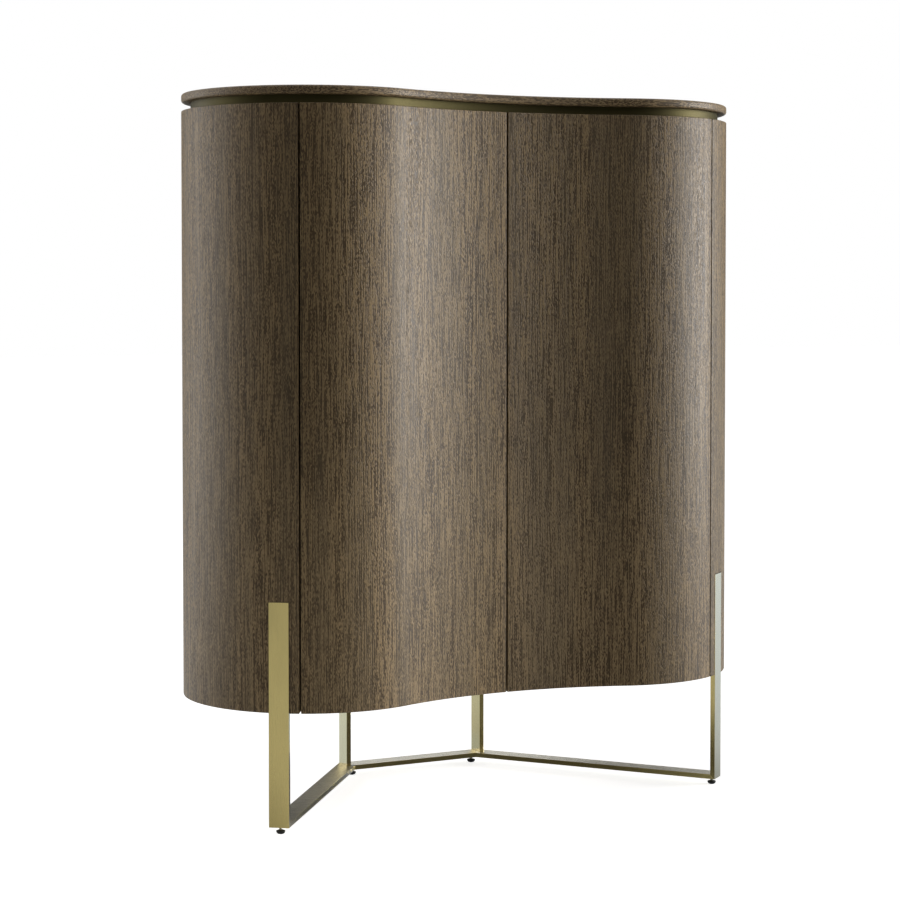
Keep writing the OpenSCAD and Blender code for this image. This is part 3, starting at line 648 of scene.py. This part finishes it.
class HIGHBOARD_OT_top(bpy.types.Operator):
    """Thin shaped top panel with a rounded edge"""
    bl_idname = "highboard.top"
    bl_label = "Top panel"

    def execute(self, context):
        shape, edges, finish = groups_of(context, "shape", "edges", "finish")
        low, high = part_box("top_panel")
        bm = bmesh.new()
        outline(bm, Plan(shape), (0.0, 0.0, 0.0), low.z)
        bmesh.ops.contextual_create(bm, geom=bm.edges[:])
        raise_faces(bm, high.z - low.z)
        round_edges(bm, edges.top, TOP_SEGMENTS)
        material = veneer("top_veneer", finish, grain="X", offset=SHEETS["top"])
        piece_from(bm, "top", material, "body", "veneer", "top_panel")
        return {"FINISHED"}


class HIGHBOARD_OT_band(bpy.types.Operator):
    """Dark metal band in the recess under the top panel"""
    bl_idname = "highboard.band"
    bl_label = "Recess band"

    def execute(self, context):
        shape, finish = groups_of(context, "shape", "finish")
        low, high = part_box("recess_band")
        bm = bmesh.new()
        outline(bm, Plan(shape), 3 * (shape.band_inset,), low.z)
        lift(bm, bmesh.ops.extrude_edge_only(bm, edges=bm.edges[:]), high.z - low.z)
        bmesh.ops.recalc_face_normals(bm, faces=bm.faces[:])
        bmesh.ops.solidify(bm, geom=bm.faces[:], thickness=shape.band)
        material = brushed_metal("band_bronze", finish.bronze, **BAND_METAL)
        piece_from(bm, "band", material, "body", "band_metal", "recess_band")
        return {"FINISHED"}


class HIGHBOARD_OT_end_panels(bpy.types.Operator):
    """Curved end panels, slotted for the front legs and cut for hinges and shelf pins"""
    bl_idname = "highboard.end_panels"
    bl_label = "End panels"

    def execute(self, context):
        shape, edges, fittings, finish = groups_of(context, "shape", "edges", "fittings", "finish")
        plan = Plan(shape)
        for side, sign in SIDES.items():
            low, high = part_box(f"{side}_end_panel")
            bm = bmesh.new()
            start = edge_across(bm, plan.end, out_direction(plan.panel_edge),
                                plan.inner_radius, plan.end_radius, low.z)
            lathe(bm, start, plan.end, math.pi - plan.panel_edge)
            raise_faces(bm, high.z - low.z)
            round_edges(bm, edges.panels)
            bm = cut(bm, self.cutters(plan, shape, fittings, low.z))
            to_side(bm, sign)
            piece_from(bm, f"{side}_end", side_veneer(side, "end", finish), "body", "veneer",
                       f"{side}_end_panel")
        return {"FINISHED"}

    def cutters(self, plan, shape, fittings, low):
        """The leg's slot, the hinge plates' flat seats and the shelf pins' holes."""
        bm = bmesh.new()
        half = shape.bar_width / 2 + shape.slot_gap
        leg_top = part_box("right_front_leg")[1].z
        add_box(bm, (-half, -shape.bar, low - shape.bar),
                (half, shape.bar + shape.fit, leg_top + shape.slot_gap),
                plan.at_end(shape.leg_angle, shape.end_radius))
        wide = fittings.plate_width / 2 + shape.slot_gap
        tall = fittings.plate_height / 2 + shape.slot_gap
        for z in hinge_heights(fittings):
            add_box(bm, (-wide, 0.0, z - tall), (wide, shape.end_panel, z + tall),
                    plan.hinge_plate(fittings))
        for shelf in ("lower", "upper"):
            pin_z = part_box(f"right_{shelf}_shelf")[0].z - fittings.pin_radius
            for row in (fittings.pin_front, fittings.pin_rear):
                for step in (-1, 0, 1):
                    hole = plan.at_end(row, plan.inner_radius) @ Matrix.Translation(
                        (0.0, 0.0, pin_z + step * fittings.hole_pitch)) @ ALONG_Y
                    add_rod(bm, fittings.pin_radius, -fittings.pin_depth, fittings.pin_depth, hole)
        return bm


class HIGHBOARD_OT_doors(bpy.types.Operator):
    """Curved doors without handles, drilled for their hinge cups"""
    bl_idname = "highboard.doors"
    bl_label = "Doors"

    def execute(self, context):
        shape, edges, fittings, finish = groups_of(context, "shape", "edges", "fittings", "finish")
        plan = Plan(shape)
        for side, sign in SIDES.items():
            low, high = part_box(f"{side}_door")
            inner_x = shape.centre_gap / 2 + shape.free_bevel
            begin = math.asin(inner_x / (shape.hollow_radius + shape.door))
            bm = bmesh.new()
            start = edge_across(bm, plan.hollow, Vector((math.sin(begin), math.cos(begin), 0.0)),
                                shape.hollow_radius, shape.hollow_radius + shape.door, low.z)
            last = lathe(bm, start[2:] + start[:2], plan.hollow, begin - plan.turn)
            lathe(bm, last, plan.end, plan.turn + plan.door_edge)
            free = start[0]
            free.co.x = shape.centre_gap / 2
            free.co.y = plan.hollow.y + math.sqrt(shape.hollow_radius ** 2 - free.co.x ** 2)
            raise_faces(bm, high.z - low.z)
            round_edges(bm, edges.panels)
            bm = cut(bm, self.cutters(plan, shape, fittings))
            to_side(bm, sign)
            piece_from(bm, f"{side}_curved_door", side_veneer(side, "door", finish),
                       f"{side}_door", "veneer", f"{side}_door")
        return {"FINISHED"}

    def cutters(self, plan, shape, fittings):
        """The hinge cups' stepped pockets and the strike plate's seat."""
        bm = bmesh.new()
        through = 2 * shape.door
        flange = fittings.cup_radius + fittings.flange_lip + shape.fit
        for z in hinge_heights(fittings):
            pocket = plan.hinge() @ Matrix.Translation((-fittings.cup_set, 0.0, z)) @ ALONG_Y
            add_turned(bm, [(0.0, fittings.cup_floor), (fittings.cup_radius, fittings.cup_floor),
                            (fittings.cup_radius, fittings.flange_seat),
                            (flange, fittings.flange_seat), (flange, through), (0.0, through)],
                       pocket)
        low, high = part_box("right_strike_plate")
        middle = (low + high) / 2
        add_rod(bm, fittings.strike_radius, 0.0, through,
                Matrix.Translation((middle.x, low.y, middle.z)) @ ALONG_Y)
        return bm


class HIGHBOARD_OT_frame(bpy.types.Operator):
    """Flat-bar frame: front legs, side floor bars, rear floor bar, rear legs and their plates"""
    bl_idname = "highboard.frame"
    bl_label = "Metal frame"

    def execute(self, context):
        shape, edges, finish = groups_of(context, "shape", "edges", "finish")
        self.width = edges.bars
        plan = Plan(shape)
        upright = brushed_metal("upright_brass", finish.brass, painted_sheen=finish.painted_sheen, **UPRIGHT_METAL)
        low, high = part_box("rear_bar")
        leg_top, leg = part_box("right_front_leg")[1].z, plan.at_end(shape.leg_angle, shape.end_radius)
        half = shape.bar_width / 2
        foot = leg @ Vector((0.0, 0.0, low.z))
        slant = leg.to_3x3() @ Vector((0.0, 1.0, -1.0)).normalized()
        corner, across = plan.frame_outer, plan.frame_outer - plan.frame_inner
        far = (leg.inverted() @ corner).y + half
        beside = Vector((across.y, -across.x, 0.0)).normalized()
        if beside.y < 0.0:
            beside.negate()
        for side, sign in SIDES.items():
            turn = math.pi / 2 - sign * (math.pi / 2 - shape.leg_angle)
            bar_metal = brushed_metal(f"{side}_bar_brass", finish.brass, turn=turn,
                                      painted_sheen=finish.painted_sheen, **FLOOR_BAR_METAL)
            self.bar((-half, 0.0, low.z), (half, shape.bar, leg_top), leg, [(foot, slant)],
                     f"{side}_leg_in_front", upright, sign, f"{side}_front_leg", UP)
            self.bar((-half, 0.0, low.z), (half, far, high.z), leg,
                     [(foot, -slant), (corner, beside)], f"{side}_floor_bar", bar_metal, sign,
                     f"{side}_side_bar", out_direction(shape.leg_angle))
            self.bar(*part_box("right_rear_leg"), Matrix.Identity(4), [], f"{side}_leg_behind",
                     upright, sign, f"{side}_rear_leg", UP)
            self.bar(*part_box("right_leg_plate"), Matrix.Identity(4), [], f"{side}_screw_plate",
                     upright, sign, f"{side}_leg_plate", UP)
        other = Vector((-beside.x, beside.y, 0.0))
        rear_metal = brushed_metal("rear_bar_brass", finish.brass, painted_sheen=finish.painted_sheen,
                                   **FLOOR_BAR_METAL)
        self.bar(low, high, Matrix.Identity(4),
                 [(corner, -beside), (Vector((-corner.x, corner.y, 0.0)), -other)],
                 "floor_bar_behind", rear_metal, SIDES["right"], "rear_bar",
                 Vector((1.0, 0.0, 0.0)))
        return {"FINISHED"}

    def bar(self, low, high, matrix, mitres, name, material, sign, node, along):
        """A length of flat bar with its edges rounded, apart from those of its mitres.

        U of its map runs across the brushed lines and V along them.
        """
        bm = bmesh.new()
        add_box(bm, low, high, matrix)
        for place, direction in mitres:
            mitre(bm, place, direction)
        round_edges(bm, self.width, spared=mitres)
        across = bm.loops.layers.uv.new("across")
        for face in bm.faces:
            sideways = face.normal.cross(along)
            if sideways.length < 0.5:
                sideways = face.normal.orthogonal()
            for loop in face.loops:
                loop[across].uv = (loop.vert.co.dot(sideways), loop.vert.co.dot(along))
        to_side(bm, sign)
        piece_from(bm, name, material, "body", "frame_metal", node)


class HIGHBOARD_OT_inside(bpy.types.Operator):
    """Decks, partition, back panel and shelves"""
    bl_idname = "highboard.inside"
    bl_label = "Inside"

    def execute(self, context):
        shape, edges, finish = groups_of(context, "shape", "edges", "finish")
        self.width = edges.shelves
        plan = Plan(shape)
        upright = veneer("inside_veneer", finish, **INSIDE_VENEER)
        flat = veneer("shelf_veneer", finish, grain="X", **INSIDE_VENEER)
        dress(upright, "back_panel", "partition", "dowels")
        dress(moulded_black("spacer_black", finish.black), "top_spacer")
        front, near = shape.door + shape.door_back_gap, shape.partition / 2 + shape.shelf_gap
        deck = (front, shape.end_panel + shape.fit, shape.back_panel + shape.fit)
        shelf = (front + shape.shelf_setback, shape.end_panel + shape.shelf_gap,
                 shape.back_panel + shape.shelf_gap)
        for name in ("top_deck", "bottom_deck"):
            low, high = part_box(name)
            bm = bmesh.new()
            outline(bm, plan, deck, low.z)
            self.board(bm, high.z - low.z, flat, f"{name}_board", name)
        for side, sign in SIDES.items():
            for level in ("lower", "upper"):
                low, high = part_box(f"{side}_{level}_shelf")
                bm = bmesh.new()
                bm.edges.new(half_outline(bm, plan, near, shelf, low.z))
                to_side(bm, sign)
                self.board(bm, high.z - low.z, flat, f"{side}_{level}_board",
                           f"{side}_{level}_shelf")
        return {"FINISHED"}

    def board(self, bm, thickness, material, name, node):
        bmesh.ops.contextual_create(bm, geom=bm.edges[:])
        raise_faces(bm, thickness)
        round_edges(bm, self.width)
        piece_from(bm, name, material, "body", "inside_wood", node)


class HIGHBOARD_OT_hinges(bpy.types.Operator):
    """Concealed hinges: cups in the doors, arms and plates on the end panels"""
    bl_idname = "highboard.hinges"
    bl_label = "Hinges"

    def execute(self, context):
        shape, edges, fittings, finish = groups_of(context, "shape", "edges", "fittings", "finish")
        plan = Plan(shape)
        steel = brushed_metal("hinge_steel", finish.steel, **HINGE_STEEL)
        for side, sign in SIDES.items():
            cups, arms, plates = bmesh.new(), bmesh.new(), bmesh.new()
            for z in hinge_heights(fittings):
                at_hinge = plan.hinge() @ Matrix.Translation((0.0, 0.0, z))
                self.cup(cups, shape, fittings, at_hinge)
                self.arm(arms, plan, shape, fittings, at_hinge)
                add_box(plates, (-fittings.plate_width / 2, 0.0, z - fittings.plate_height / 2),
                        (fittings.plate_width / 2, fittings.plate, z + fittings.plate_height / 2),
                        plan.hinge_plate(fittings))
            for bm, part, body in ((cups, "cups", f"{side}_door"), (arms, "arms", "body"),
                                   (plates, "plates", "body")):
                round_edges(bm, edges.fittings)
                to_side(bm, sign)
                piece_from(bm, f"{side}_{part}_of_hinges", steel, body, "steel",
                           f"{side}_hinge_{part}")
        return {"FINISHED"}

    def cup(self, bm, shape, fittings, at_hinge):
        """A pressed cup with a flange, in its pocket in the door."""
        outer = fittings.cup_radius - shape.fit / 2
        inner, flange = outer - fittings.cup_wall, fittings.cup_radius + fittings.flange_lip
        under, seat = fittings.cup_floor + shape.fit, fittings.flange_seat
        rim = seat + fittings.cup_wall
        add_turned(bm, [(0.0, under), (outer, under), (outer, seat), (flange, seat), (flange, rim),
                        (inner, rim), (inner, under + fittings.cup_wall),
                        (0.0, under + fittings.cup_wall)],
                   at_hinge @ Matrix.Translation((-fittings.cup_set, 0.0, 0.0)) @ ALONG_Y)

    def arm(self, bm, plan, shape, fittings, at_hinge):
        """A cranked arm from inside the cup over the panel's edge and along its plate."""
        to_plate = plan.hinge().inverted() @ plan.hinge_plate(fittings)
        half = fittings.plate_width / 2
        tip = fittings.cup_floor + shape.fit + fittings.cup_wall + fittings.tip_gap
        neck = shape.end_panel + fittings.arm_gap
        far, near = -fittings.tip_far, -fittings.tip_near
        seat, back = fittings.plate, fittings.plate + fittings.arm
        on_plate = [to_plate @ Vector((*point, 0.0)) for point in (
            (-half - fittings.arm_gap, seat), (half, seat), (half, back), (-half, back))]
        in_cup = [Vector((*point, 0.0)) for point in (
            (far, neck + fittings.neck), (far, tip), (near, tip), (near, neck))]
        low = fittings.arm_width / 2 * UP
        verts = [bmesh.ops.create_vert(bm, co=at_hinge @ (point - low))["vert"][0]
                 for point in in_cup + on_plate]
        side = bmesh.ops.contextual_create(bm, geom=verts)["faces"]
        lift(bm, bmesh.ops.extrude_face_region(bm, geom=side), fittings.arm_width)


class HIGHBOARD_OT_feet(bpy.types.Operator):
    """Levelling feet: rounded black pads on threaded stems"""
    bl_idname = "highboard.feet"
    bl_label = "Levelling feet"

    def execute(self, context):
        edges, fittings, finish = groups_of(context, "edges", "fittings", "finish")
        steel = brushed_metal("thread_steel", finish.steel, **HINGE_STEEL)
        black = moulded_black("foot_black", finish.black)
        for side in SIDES:
            for end in ("front", "rear"):
                name = f"{side}_{end}"
                low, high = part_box(f"{name}_foot")
                middle = Matrix.Translation(((low.x + high.x) / 2, (low.y + high.y) / 2, 0.0))
                pad = bmesh.new()
                rim, tall = (high.x - low.x) / 2, high.z
                inner = fittings.stem_radius + 2 * fittings.thread_depth
                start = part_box(f"{name}_stem")[0].z
                profile = [(across * rim, up * tall) for across, up in PAD_PROFILE]
                profile += [(inner, tall), (inner, start), (0.0, start)]
                add_turned(pad, profile, middle, PAD_STEPS)
                round_edges(pad, edges.feet, PAD_SEGMENTS)
                piece_from(pad, f"{name}_pad", black, name + "_foot", "black_plastic",
                           f"{name}_foot")
                piece_from(self.stem(fittings, f"{name}_stem", middle), f"{name}_thread", steel,
                           name + "_foot", "steel", f"{name}_stem")
        return {"FINISHED"}

    def stem(self, fittings, node, middle):
        """A rod with the ridges of its thread."""
        low, high = (corner.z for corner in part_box(node))
        root, crest = fittings.stem_radius - fittings.thread_depth, fittings.stem_radius
        turns = int((high - low) / fittings.thread)
        profile = [(0.0, low), (root, low)]
        for turn in range(turns):
            z = low + turn * fittings.thread
            profile += [(crest, z + fittings.thread / 2), (root, z + fittings.thread)]
        bm = bmesh.new()
        add_turned(bm, profile + [(root, high), (0.0, high)], middle, STEM_STEPS)
        return bm


class HIGHBOARD_OT_fittings(bpy.types.Operator):
    """Latches, screws and shelf pins"""
    bl_idname = "highboard.fittings"
    bl_label = "Latches, screws and pins"

    def execute(self, context):
        finish = context.scene.highboard_finish
        steel = brushed_metal("satin_steel", finish.steel, **SCREW_STEEL)
        black = moulded_black("moulded_black", finish.black)
        for side in SIDES:
            dress(steel, *(f"{side}_{part}" for part in (
                "shelf_pins", "hinge_screws", "latch_plunger", "strike_plate")))
            dress(black, f"{side}_latch_housing")
        dress(steel, "latch_screws", "front_leg_screws", "leg_plate_screws", "back_screws",
              "carcass_screws", "top_screws")
        return {"FINISHED"}


# Studio

class HIGHBOARD_OT_studio(bpy.types.Operator):
    """Pale floor, soft lamps, white surroundings and the camera"""
    bl_idname = "highboard.studio"
    bl_label = "Studio"

    def execute(self, context):
        scene, studio = context.scene, context.scene.highboard_studio
        scene.view_settings.view_transform = "Standard"
        self.make_floor(studio)
        self.make_surroundings(scene, studio)
        for name, place in LAMPS.items():
            self.make_lamp(name, getattr(studio, name), *place)
        self.make_camera(scene, studio)
        return {"FINISHED"}

    def make_floor(self, studio):
        material, shader, add = new_material("studio_floor")
        place = add("ShaderNodeTexCoord").outputs["Object"]
        path = add("ShaderNodeLightPath").outputs
        plain = mixed(add, noise(add, place, SPECKLE_SCALE, 2.0), studio.floor,
                      [SPECKLE_SHADE * c for c in studio.floor])
        # Painted shade: gloss shows the floor dark under the cabinet
        distance = add("ShaderNodeVectorMath", {0: place, 1: UNDERNEATH}, operation="DISTANCE")
        sheen = mixed(add, spread(add, distance.outputs["Value"], UNDER_NEAR, UNDER_FAR),
                      3 * (studio.painted_shade_under_cabinet,), self.sheen(add, place))
        in_gloss = mixed(add, 1.0, plain, sheen, blend="MULTIPLY")
        away = add("ShaderNodeVectorMath", {0: place}, operation="LENGTH").outputs["Value"]
        glow = maths(add, "MULTIPLY", self.seen(add, path),
                     spread(add, away, GLOW_NEAR, GLOW_FAR, studio.floor_glow, 1.0))
        shown = maths(add, "MULTIPLY", path["Is Glossy Ray"], studio.floor_gloss)
        feed(shader, {
            "Base Color": mixed(add, path["Is Glossy Ray"], plain, in_gloss),
            "Roughness": FLOOR_ROUGHNESS, "Specular IOR Level": 0.0,
            "Emission Color": mixed(add, path["Is Glossy Ray"], WHITE, sheen),
            "Emission Strength": maths(add, "ADD", glow, shown)})
        bm = bmesh.new()
        bmesh.ops.create_grid(bm, x_segments=1, y_segments=1, size=FLOOR_REACH)
        floor = to_object(bm, "floor")
        floor.data.materials.append(material)

    def seen(self, add, path):
        """1 for what the camera sees, also through glass, and 0 for light and gloss."""
        return maths(add, "MAXIMUM", path["Is Camera Ray"], path["Is Transmission Ray"])

    def sheen(self, add, direction):
        """The floor's level as gloss shows it, which differs from one direction to another."""
        ahead = add("ShaderNodeSeparateXYZ", {0: direction}).outputs
        turned = maths(add, "ARCTAN2", ahead["X"], maths(add, "MULTIPLY", ahead["Y"], -1.0))
        ramp = add("ShaderNodeValToRGB", {"Fac": add("ShaderNodeMapRange", {
            "Value": turned, "From Min": -math.pi, "From Max": math.pi}).outputs["Result"]})
        stops = ramp.color_ramp.elements
        stops.remove(stops[1])
        for azimuth, level, tint in SHEEN:
            stop = stops.new(azimuth / 360.0 + 0.5) if azimuth > -180.0 else stops[0]
            stop.color = (*(level * c for c in tint), 1.0)
        return ramp.outputs["Color"]

    def make_surroundings(self, scene, studio):
        """A world that is white where it is seen, a room in gloss, and a weak light elsewhere."""
        scene.world = bpy.data.worlds.new("studio_world")
        scene.world.use_nodes = True
        tree = scene.world.node_tree
        tree.nodes.clear()
        add = node_adder(tree)
        toward = add("ShaderNodeTexCoord").outputs["Generated"]
        climb = add("ShaderNodeSeparateXYZ", {0: toward}).outputs["Z"]
        room = mixed(add, spread(add, climb, WALLS_END, CEILING_BEGINS),
                     3 * (studio.walls,), 3 * (studio.ceiling,))
        path = add("ShaderNodeLightPath").outputs
        light = mixed(add, path["Is Glossy Ray"], 3 * (studio.ambient,), room)
        background = add("ShaderNodeBackground", {
            "Color": mixed(add, self.seen(add, path), light, WHITE), "Strength": 1.0})
        add("ShaderNodeOutputWorld", {"Surface": background.outputs[0]})

    def make_lamp(self, name, power, azimuth, reach, height, size, facing_floor=False):
        """A soft lamp aimed at the cabinet, or at the floor, where gloss doesn't show it."""
        light = bpy.data.lights.new(name, "AREA")
        light.energy = power
        light.shape = "RECTANGLE"
        light.size, light.size_y = size
        lamp = bpy.data.objects.new(name, light)
        bpy.context.scene.collection.objects.link(lamp)
        lamp.location = reach * out_direction(math.radians(azimuth)) + height * UP
        aim = -UP if facing_floor else LAMP_TARGET - lamp.location
        lamp.rotation_euler = aim.to_track_quat("-Z", "Y").to_euler()
        lamp.visible_camera = False
        lamp.visible_glossy = not facing_floor

    def make_camera(self, scene, studio):
        data = bpy.data.cameras.new("camera")
        data.lens, data.sensor_width, data.shift_y = studio.lens, SENSOR_WIDTH, studio.shift
        camera = bpy.data.objects.new("camera", data)
        scene.collection.objects.link(camera)
        camera.location = studio.camera
        ahead = Vector((math.sin(studio.heading) * math.cos(studio.pitch),
                        math.cos(studio.heading) * math.cos(studio.pitch),
                        -math.sin(studio.pitch)))
        camera.rotation_euler = ahead.to_track_quat("-Z", "Y").to_euler()
        scene.camera = camera


# Add-on

OPERATORS = (
    HIGHBOARD_OT_top, HIGHBOARD_OT_band, HIGHBOARD_OT_end_panels, HIGHBOARD_OT_doors,
    HIGHBOARD_OT_frame, HIGHBOARD_OT_inside, HIGHBOARD_OT_hinges, HIGHBOARD_OT_feet,
    HIGHBOARD_OT_fittings, HIGHBOARD_OT_studio)


class HIGHBOARD_PT_sidebar(bpy.types.Panel):
    """Sizes, finishes and the steps that make the highboard"""
    bl_idname = "HIGHBOARD_PT_sidebar"
    bl_label = "Highboard"
    bl_space_type = "VIEW_3D"
    bl_region_type = "UI"
    bl_category = "Highboard"

    def draw(self, context):
        column = self.layout.column()
        for group in GROUPS:
            settings = getattr(context.scene, group)
            for name in settings.__annotations__:
                column.prop(settings, name)
        for operator in OPERATORS:
            column.operator(operator.bl_idname)


GROUPS = {"highboard_shape": HighboardShape, "highboard_fittings": HighboardFittings,
          "highboard_edges": HighboardEdges, "highboard_finish": HighboardFinish,
          "highboard_studio": HighboardStudio}


def register():
    for entry in (*GROUPS.values(), *OPERATORS, HIGHBOARD_PT_sidebar):
        bpy.utils.register_class(entry)
    for name, group in GROUPS.items():
        setattr(bpy.types.Scene, name, bpy.props.PointerProperty(type=group))


def unregister():
    for name in GROUPS:
        delattr(bpy.types.Scene, name)
    for entry in reversed((*GROUPS.values(), *OPERATORS, HIGHBOARD_PT_sidebar)):
        bpy.utils.unregister_class(entry)


def main():
    register()
    for operator in OPERATORS:
        group, name = operator.bl_idname.split(".")
        getattr(getattr(bpy.ops, group), name)()


if __name__ == "__main__":
    main()
